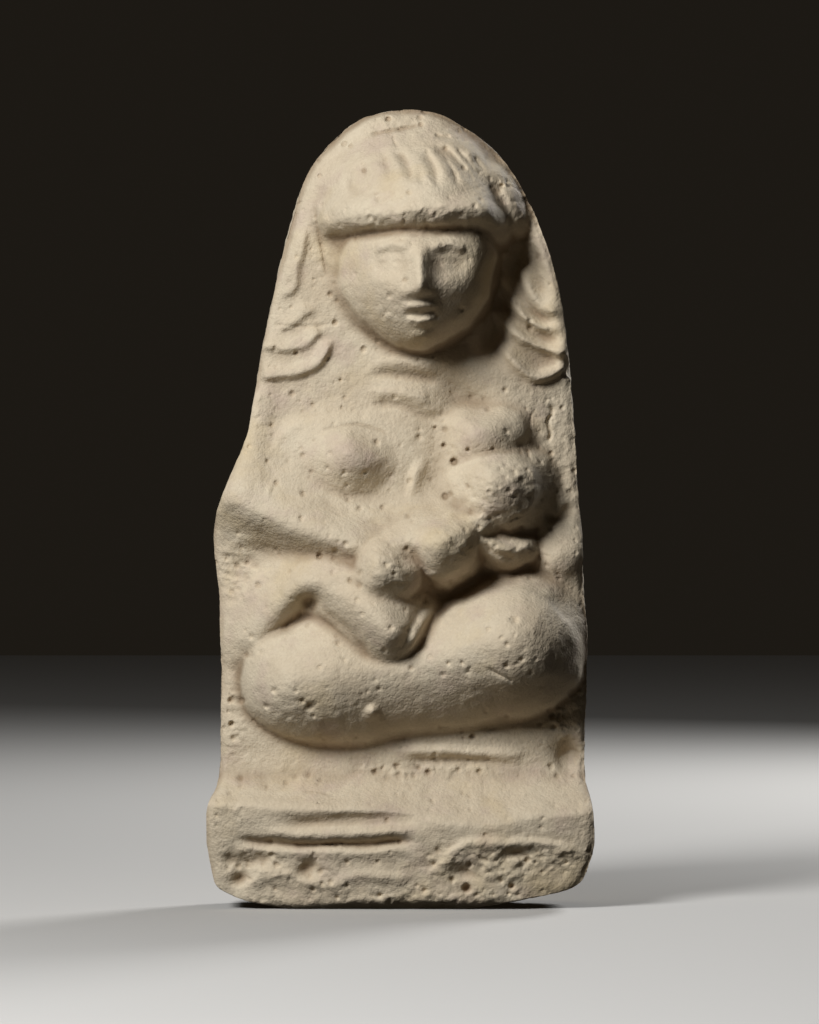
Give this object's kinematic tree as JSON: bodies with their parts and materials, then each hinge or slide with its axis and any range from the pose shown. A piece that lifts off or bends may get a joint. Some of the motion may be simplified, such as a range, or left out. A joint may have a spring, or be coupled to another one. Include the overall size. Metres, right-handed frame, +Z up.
{
  "type": "clay mother and child figurine",
  "caption": "Mould-pressed clay figurine of a seated, cross-legged mother nursing a child in her lap, on a low foot, with a rounded crown and a shallow convex back.",
  "frame": {"origin": "middle of the bounding box on the underside, which the figurine stands on", "axes": "+Z up along the figurine's height, +X to the viewer's right, the relief's front faces -Y"},
  "size_m": [0.058, 0.0324, 0.12],
  "materials": {
    "fired_clay": "unglazed buff earthenware, dry and matt, pitted and hand-smoothed, with faint pinkish and yellowish patches, brown in worn hollows"
  },
  "bodies": {
    "root": {"clay_figurine": "fired_clay"}
  },
  "joints": []
}
